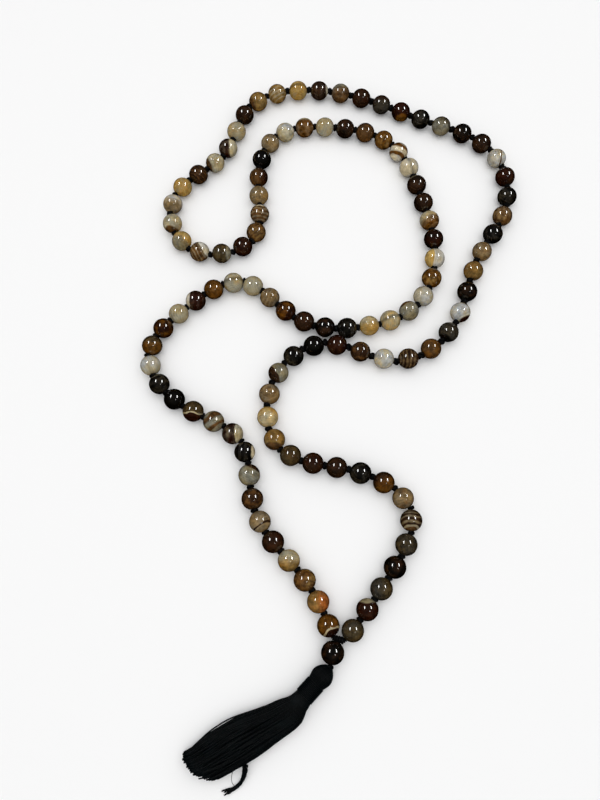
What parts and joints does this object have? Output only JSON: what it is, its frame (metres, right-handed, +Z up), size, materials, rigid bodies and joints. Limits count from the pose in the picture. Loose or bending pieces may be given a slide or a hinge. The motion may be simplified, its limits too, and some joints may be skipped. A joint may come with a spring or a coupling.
{
  "type": "mala prayer beads",
  "caption": "Closed loop of round banded agate beads knotted on black cord, with a guru bead and a black thread tassel, lying loosely folded on a table.",
  "frame": {"origin": "on the table, under the middle of the bounding box of the string as it lies", "axes": "+Z up from the table, +Y the long way of the laid-out string from the tassel to the far bend, +X to the right of it"},
  "size_m": [0.156, 0.2876, 0.008],
  "materials": {
    "agate_black": "polished",
    "agate_brown": "polished",
    "agate_honey": "polished",
    "agate_cream": "polished",
    "agate_grey": "polished",
    "cord_black": "matte",
    "tassel_black": "satin"
  },
  "bodies": {
    "cross": {"beads_013_016": "agate_honey", "beads_017_020": "agate_black", "beads_085_088": "agate_brown", "cord_cross": "cord_black"},
    "waist": {"beads_101_104": "agate_grey", "cord_waist": "cord_black"},
    "right_run": {"beads_005_008": "agate_brown", "beads_009_012": "agate_black", "cord_right": "cord_black"},
    "guru_ends": {"beads_001_004": "agate_grey", "beads_105_108": "agate_honey", "cord_ends": "cord_black"},
    "left_bow": {"beads_089_092": "agate_brown", "beads_097_100": "agate_grey", "cord_left": "cord_black"},
    "left_tip": {"beads_093_096": "agate_honey", "cord_left_tip": "cord_black"},
    "band_1": {"beads_021_024": "agate_honey", "beads_081_084": "agate_honey", "cord_band_1": "cord_black"},
    "band_2": {"beads_025_028": "agate_grey", "beads_077_080": "agate_cream", "cord_band_2": "cord_black"},
    "band_3": {"beads_029_032": "agate_black", "beads_073_076": "agate_black", "cord_band_3": "cord_black"},
    "band_4": {"beads_033_036": "agate_black", "beads_037_040": "agate_brown", "beads_069_072": "agate_honey", "cord_band_4": "cord_black"},
    "band_5": {"beads_041_044": "agate_honey", "beads_065_068": "agate_cream", "cord_band_5": "cord_black"},
    "band_6": {"beads_045_048": "agate_cream", "beads_061_064": "agate_honey", "cord_band_6": "cord_black"},
    "far_bow": {"beads_049_052": "agate_honey", "beads_057_060": "agate_brown", "cord_far": "cord_black"},
    "far_tip": {"beads_053_056": "agate_cream", "cord_far_tip": "cord_black"},
    "guru_hanger": {"guru_knot": "cord_black"},
    "guru_bead": {"guru_bead": "agate_black"},
    "tassel_top": {"tassel_head": "tassel_black", "tassel_binding": "tassel_black"},
    "tassel_threads": {"tassel_skirt": "tassel_black"},
    "loose_thread": {"tassel_stray": "tassel_black"}
  },
  "joints": [
    {"name": "waist_fold", "type": "hinge", "parent": "cross", "child": "waist", "pos_m": [-0.02835, -0.02835, 0.004], "axis": [-0.9249, -0.3802, 0], "range_deg": [0, 30]},
    {"name": "right_fold", "type": "hinge", "parent": "waist", "child": "right_run", "pos_m": [0.00007, -0.04568, 0.004], "axis": [0.7478, -0.6639, 0], "range_deg": [0, 30]},
    {"name": "ends_fold", "type": "hinge", "parent": "waist", "child": "guru_ends", "pos_m": [0.00028, -0.06459, 0.004], "axis": [-0.9992, 0.041, 0], "range_deg": [0, 25]},
    {"name": "left_fold", "type": "hinge", "parent": "cross", "child": "left_bow", "pos_m": [-0.0404, 0.00645, 0.004], "axis": [-0.158, 0.9874, 0], "range_deg": [0, 35]},
    {"name": "left_tip_fold", "type": "hinge", "parent": "left_bow", "child": "left_tip", "pos_m": [-0.06637, 0.0063, 0.004], "axis": [-0.3847, 0.9231, 0], "range_deg": [0, 35]},
    {"name": "band_1_fold", "type": "hinge", "parent": "cross", "child": "band_1", "pos_m": [-0.00163, 0.02072, 0.004], "axis": [0.8807, -0.4736, 0], "range_deg": [0, 30]},
    {"name": "band_2_fold", "type": "hinge", "parent": "band_1", "child": "band_2", "pos_m": [0.03298, 0.02642, 0.004], "axis": [0.9999, 0.0131, 0], "range_deg": [0, 25]},
    {"name": "band_3_fold", "type": "hinge", "parent": "band_2", "child": "band_3", "pos_m": [0.05237, 0.05696, 0.004], "axis": [0.8844, 0.4667, 0], "range_deg": [0, 20]},
    {"name": "band_4_fold", "type": "hinge", "parent": "band_3", "child": "band_4", "pos_m": [0.05505, 0.0931, 0.004], "axis": [0.9408, 0.3391, 0], "range_deg": [0, 20]},
    {"name": "band_5_fold", "type": "hinge", "parent": "band_4", "child": "band_5", "pos_m": [0.01333, 0.12663, 0.004], "axis": [-0.429, 0.9033, 0], "range_deg": [0, 25]},
    {"name": "band_6_fold", "type": "hinge", "parent": "band_5", "child": "band_6", "pos_m": [-0.02345, 0.12808, 0.004], "axis": [-0.5866, 0.8099, 0], "range_deg": [0, 25]},
    {"name": "far_fold", "type": "hinge", "parent": "band_6", "child": "far_bow", "pos_m": [-0.0405, 0.09754, 0.004], "axis": [-0.721, 0.6929, 0], "range_deg": [0, 25]},
    {"name": "far_tip_fold", "type": "hinge", "parent": "far_bow", "child": "far_tip", "pos_m": [-0.05627, 0.06759, 0.004], "axis": [-0.8335, 0.5525, 0], "range_deg": [0, 35]},
    {"name": "guru_fold", "type": "hinge", "parent": "guru_ends", "child": "guru_hanger", "pos_m": [-0.00097, -0.0944, 0.004], "axis": [-0.9762, 0.2169, 0], "range_deg": [0, 50]},
    {"name": "guru_spin", "type": "hinge", "parent": "guru_hanger", "child": "guru_bead", "pos_m": [-0.00322, -0.09871, 0.004], "axis": [-0.2079, -0.9781, 0], "continuous": true},
    {"name": "tassel_swing", "type": "hinge", "parent": "guru_hanger", "child": "tassel_top", "pos_m": [-0.00425, -0.10355, 0.004], "axis": [0, 0, 1], "range_deg": [-12, 70]},
    {"name": "tassel_lift", "type": "hinge", "parent": "tassel_top", "child": "tassel_threads", "pos_m": [-0.01439, -0.11405, 0.004], "axis": [-0.5, 0.866, 0], "range_deg": [0, 30]},
    {"name": "stray_swing", "type": "hinge", "parent": "tassel_threads", "child": "loose_thread", "pos_m": [-0.03324, -0.13441, 0.0034], "axis": [0, 0, 1], "range_deg": [-20, 25]}
  ]
}
